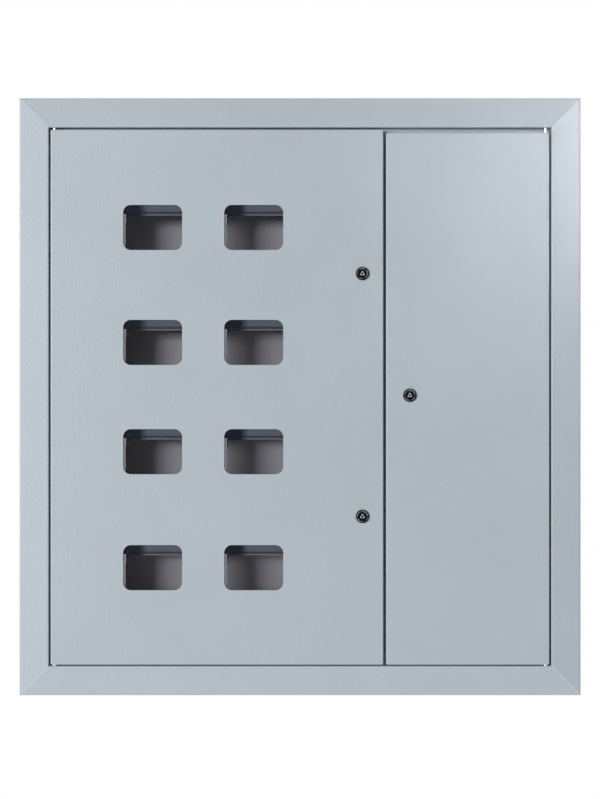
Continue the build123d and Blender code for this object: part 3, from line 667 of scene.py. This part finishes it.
def lock_barrel(lock, body, sides=48, round_steps=6):
    """Barrel with a dished face, a raised ring round its well and a threaded shank with flats."""
    node = lock + "_lock_barrel"
    low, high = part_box(node)
    x = (low.x + high.x) / 2
    z = (low.z + high.z) / 2
    front = low.y
    seat = front + head_height
    head = (high.x - low.x) / 2
    turns = [pi / 2 * i / round_steps for i in range(round_steps + 1)]
    profile = [(head, seat)]
    profile += [(head - head_round * (1 - cos(a)), front + head_round * (1 - sin(a)))
                for a in turns]
    profile += [(ring_radius + 2 * ring_rise, front + ring_rise),
                (ring_radius + ring_rise, front + ring_rise),
                (ring_radius + ring_rise / 2, front), (ring_radius, front),
                (well_radius, front + ring_rise), (well_radius, well_bottom),
                (bore_radius, well_bottom), (bore_radius, high.y)]
    rod = thread(shank_radius, seat, high.y, shank_pitch)[1:-1]
    mesh = bmesh.new()
    rings = turned(mesh, profile + rod[::-1], x, z, sides)
    join_rings(mesh, rings[-1], rings[0])
    for ring in rings[len(profile):]:
        for vert in ring:
            vert.co.x = max(x - shank_flats / 2, min(x + shank_flats / 2, vert.co.x))
    new_piece(node + "_turned", mesh, body, "lock_black", node, finish=own_finishes_and_painted_light[node])


def lock_core_dimpled(lock, body, sides=20, taper=0.5):
    """Turning core of the CAD with a dimple cut into its key stub."""
    node = lock + "_lock_rotor"
    low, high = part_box(node)
    away = Vector(((low.x + high.x) / 2, 0.0, (low.z + high.z) / 2))
    core = bmesh.new()
    core.from_mesh(nodes[node].data)
    bmesh.ops.remove_doubles(core, verts=core.verts, dist=1e-6)
    bmesh.ops.translate(core, vec=-away, verts=core.verts)
    angles = [2 * pi * i / sides for i in range(sides)]
    outline = [(dimple_radius * cos(a), dimple_radius * sin(a)) for a in angles]
    mesh = bmesh.new()
    mesh.from_mesh(cut_recess(core, outline, dimple_depth, low.y, taper))
    bmesh.ops.translate(mesh, vec=away, verts=mesh.verts)
    new_piece(node + "_dimpled", mesh, body, slots[node], node, finish=own_finishes_and_painted_light[node])


def lock_nuts(node, body):
    """Chamfered nuts that clamp the barrels, one for each solid of a node."""
    mesh = bmesh.new()
    bore = shank_radius * 1.005
    for low, high in solids_of(node):
        nut(mesh, high.x - low.x, bore, (low.x + high.x) / 2, (low.z + high.z) / 2, low.y, high.y)
    new_piece(node + "_chamfered", mesh, body, slots[node], node)


def retainer_beads(i, sides=12, bend_steps=6):
    """Rolled beads along the upper edges of a retainer's two openings, bent down at their ends."""
    low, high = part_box(f"pane_retainer_{i}")
    row = (low.z + high.z) / 2
    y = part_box("pane_1")[1].y + bead_axis
    mesh = bmesh.new()
    for j in (2 * i - 1, 2 * i):
        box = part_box(f"pane_{j}")
        x = (box[0].x + box[1].x) / 2
        left, right = (x + side for side in opening_sides)
        top = row + opening_top
        inner = opening_corner + bead_radius
        turns = [pi / 2 * k / bend_steps for k in range(bend_steps + 1)]
        path = [(left + bead_radius, top - 2 * inner, 1.0, 0.0)]
        path += [(left + inner - opening_corner * cos(a), top - inner + opening_corner * sin(a),
                  cos(a), -sin(a)) for a in turns]
        path += [(right - inner + opening_corner * sin(a), top - inner + opening_corner * cos(a),
                  -sin(a), -cos(a)) for a in turns]
        path.append((right - bead_radius, top - 2 * inner, -1.0, 0.0))
        rings = []
        for px, pz, nx, nz in path:
            ring = []
            for k in range(sides):
                a = 2 * pi * k / sides
                out = bead_radius * cos(a)
                corner = (px + nx * out, y + bead_radius * sin(a), pz + nz * out)
                ring.append(mesh.verts.new(corner))
            rings.append(ring)
        for a, b in zip(rings, rings[1:]):
            join_rings(mesh, a, b)
        mesh.faces.new(rings[0])
        mesh.faces.new(rings[-1])
    new_piece(f"retainer_beads_{i}", mesh, "left_door", slots[f"pane_retainer_{i}"],
              finish=bead_painted_light_finishes[i])


def pane(node, columns=28, rows=22):
    """Slightly bowed pane with rounded corners. It bulges only inside the window."""
    low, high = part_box(node)
    centre = (low + high) / 2
    half = (high - low) / 2

    def place(i, j, y):
        u = 2 * i / columns - 1
        v = 2 * j / rows - 1
        x, z = u * half.x, v * half.z
        over_x = abs(x) - (half.x - pane_corner)
        over_z = abs(z) - (half.z - pane_corner)
        if over_x > 0 and over_z > 0:
            away = (over_x ** 2 + over_z ** 2) ** 0.5
            shrink = max(over_x, over_z) / away
            x -= (over_x - over_x * shrink) * (1 if x > 0 else -1)
            z -= (over_z - over_z * shrink) * (1 if z > 0 else -1)
        s, t = x / window_half[0], z / window_half[1]
        bulge = pane_bulge * (1 - s * s) * (1 - t * t) if abs(s) < 1 and abs(t) < 1 else 0.0
        return centre.x + x, y - bulge, centre.z + z

    mesh = bmesh.new()
    sheets = [[[mesh.verts.new(place(i, j, y)) for i in range(columns + 1)]
               for j in range(rows + 1)] for y in (low.y + pane_relief, high.y - pane_relief)]
    for sheet in sheets:
        for j in range(rows):
            for i in range(columns):
                mesh.faces.new([sheet[j][i], sheet[j][i + 1],
                                sheet[j + 1][i + 1], sheet[j + 1][i]])
    rims = []
    for sheet in sheets:
        rim = sheet[0][:-1] + [row[-1] for row in sheet[:-1]]
        rim += sheet[-1][:0:-1] + [row[0] for row in sheet[:0:-1]]
        rims.append(rim)
    join_rings(mesh, *rims)
    new_piece(node + "_bowed", mesh, "left_door", "window_glass", node)


# Finishes of the CAD nodes

finishes = {
    "powder_coat": powder_coat("powder_coat", 1.0),
    "galvanised": galvanised(),
    "zinc_plated": zinc_plated(),
    "window_glass": window_glass(),
    "brass": brass(),
    "support_plastic": support_plastic(),
    "plate_grey": plate_grey(),
}
# Finishes of single nodes, which come before the finish of their slot. Several of them also paint
# light and shade.
own_finishes_and_painted_light = {name: powder_coat(name + "_coat", *coat) for name, coat in frame_painted_light_coats.items()}
bead_painted_light_finishes = {}
for lock in locks:
    low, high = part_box(lock + "_lock_barrel")
    centre = (low + high) / 2
    own_finishes_and_painted_light[lock + "_lock_barrel"] = lock_black(lock + "_lock_black", centre)
    own_finishes_and_painted_light[lock + "_lock_rotor"] = lock_core(lock + "_lock_core", centre)
for i in window_rows:
    own_finishes_and_painted_light[f"meter_plate_{i}"] = finishes["plate_grey"]
    low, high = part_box(f"pane_retainer_{i}")
    row = (low.z + high.z) / 2
    own_finishes_and_painted_light[f"pane_retainer_{i}"] = blued_steel_painted_light(f"retainer_{i}", retainer_painted_shade,
                                                     retainer_painted_light, row, painted_front_depth)
    # The beads take painted shade at the left of each window and painted light at the right
    bead_painted_light_finishes[i] = blued_steel_painted_light(f"bead_{i}", retainer_painted_shade, bead_painted_light, row + bead_drop,
                                   bead_depth)
for name, node in nodes.items():
    finish = own_finishes_and_painted_light.get(name) or finishes[slots[name]]
    for material_slot in node.material_slots:
        material_slot.material = finish


# Pieces with more detail than the solids

screws("case_screws_recessed", "case_screws", "case", cross, case_head_share)
screws("bar_screws_slotted", "bar_screws", "case", straight_slot, bar_head_share)
studs("left_door_studs_threaded", "left_door_studs", "left_door")
studs("right_door_stud_threaded", "right_door_stud", "right_door")
studs("earth_stud_threaded", "earth_stud", "case")
for lock, body in locks.items():
    lock_barrel(lock, body)
    lock_core_dimpled(lock, lock + "_lock")
    screws(lock + "_cam_screw_recessed", lock + "_cam_screw", lock + "_lock", cross,
           cam_head_share, backward=True)
lock_nuts("left_lock_nuts", "left_door")
lock_nuts("right_lock_nut", "right_door")
for i in window_rows:
    retainer_beads(i)
for i in panes:
    pane(f"pane_{i}")


# Floor, world, lamps and camera

def floor():
    """White floor that fades out around the board. It glows for the camera, keeps the shadow and
    isn't seen from below."""
    mesh = bmesh.new()
    bmesh.ops.create_grid(mesh, x_segments=2, y_segments=2, size=floor_half)
    data = bpy.data.meshes.new("floor")
    mesh.to_mesh(data)
    mesh.free()
    plane = bpy.data.objects.new("floor", data)
    plane.location.z = floor_height
    bpy.context.scene.collection.objects.link(plane)
    material, tree, shader, place = new_material("floor")
    shader.inputs["Base Color"].default_value = (0.86, 0.86, 0.86, 1.0)
    shader.inputs["Roughness"].default_value = 0.9
    far = add(tree, "ShaderNodeVectorMath", {0: place}, operation="LENGTH").outputs["Value"]
    near = remap(tree, far, 1.0, 0.0, *floor_fade)
    from_below = add(tree, "ShaderNodeNewGeometry").outputs["Backfacing"]
    seen = maths(tree, "MULTIPLY", near, maths(tree, "SUBTRACT", 1.0, from_below))
    tree.links.new(seen, shader.inputs["Alpha"])
    camera_ray = add(tree, "ShaderNodeLightPath").outputs["Is Camera Ray"]
    glow = maths(tree, "MULTIPLY", camera_ray, floor_glow)
    shader.inputs["Emission Color"].default_value = (1.0, 1.0, 1.0, 1.0)
    tree.links.new(glow, shader.inputs["Emission Strength"])
    data.materials.append(material)


def world():
    """White to camera, mirror and glass rays, and a plain dimmer light to all else."""
    sky = bpy.data.worlds.new("sky")
    bpy.context.scene.world = sky
    sky.use_nodes = True
    tree = sky.node_tree
    path = add(tree, "ShaderNodeLightPath")
    seen = path.outputs["Is Camera Ray"]
    for kind in ("Is Glossy Ray", "Is Transmission Ray"):
        seen = maths(tree, "MAXIMUM", seen, path.outputs[kind])
    strength = remap(tree, seen, ambient, 1.0, 0.0, 1.0)
    background = tree.nodes["Background"]
    background.inputs["Color"].default_value = (1.0, 1.0, 1.0, 1.0)
    tree.links.new(strength, background.inputs["Strength"])


def softbox(name, place, target, width, height, power, spread):
    """Rectangular lamp at a place, turned towards a target."""
    light = bpy.data.lights.new(name, "AREA")
    light.shape = "RECTANGLE"
    light.size = width
    light.size_y = height
    light.energy = power
    light.spread = radians(spread)
    lamp = bpy.data.objects.new(name, light)
    lamp.location = place
    lamp.rotation_euler = (Vector(target) - Vector(place)).to_track_quat("-Z", "Y").to_euler()
    lamp.visible_camera = False
    bpy.context.scene.collection.objects.link(lamp)


def dark_card():
    """Black card behind the camera that the panes mirror. Nothing else sees it."""
    mesh = bmesh.new()
    bmesh.ops.create_grid(mesh, x_segments=1, y_segments=1, size=0.5)
    bmesh.ops.scale(mesh, vec=(card_width, card_height, 1.0), verts=mesh.verts)
    data = bpy.data.meshes.new("dark_card")
    mesh.to_mesh(data)
    mesh.free()
    card = bpy.data.objects.new("dark_card", data)
    card.location = card_place
    card.rotation_euler = (pi / 2, 0.0, 0.0)
    bpy.context.scene.collection.objects.link(card)
    material, tree, shader, place = new_material("dark_card")
    shader.inputs["Base Color"].default_value = (0.01, 0.01, 0.01, 1.0)
    shader.inputs["Roughness"].default_value = 1.0
    data.materials.append(material)
    card.visible_camera = False
    card.visible_diffuse = False
    card.visible_transmission = False
    card.visible_shadow = False


def camera():
    """Camera straight in front of the board."""
    data = bpy.data.cameras.new("camera")
    data.lens = camera_lens
    eye = bpy.data.objects.new("camera", data)
    eye.location = (0.0, cad_box[0][1] - camera_distance, camera_height)
    eye.rotation_euler = (pi / 2, 0.0, 0.0)
    bpy.context.scene.collection.objects.link(eye)
    bpy.context.scene.camera = eye


bpy.context.scene.view_settings.view_transform = "Standard"
floor()
world()
for name, lamp in lamps.items():
    softbox(name, *lamp)
dark_card()
camera()
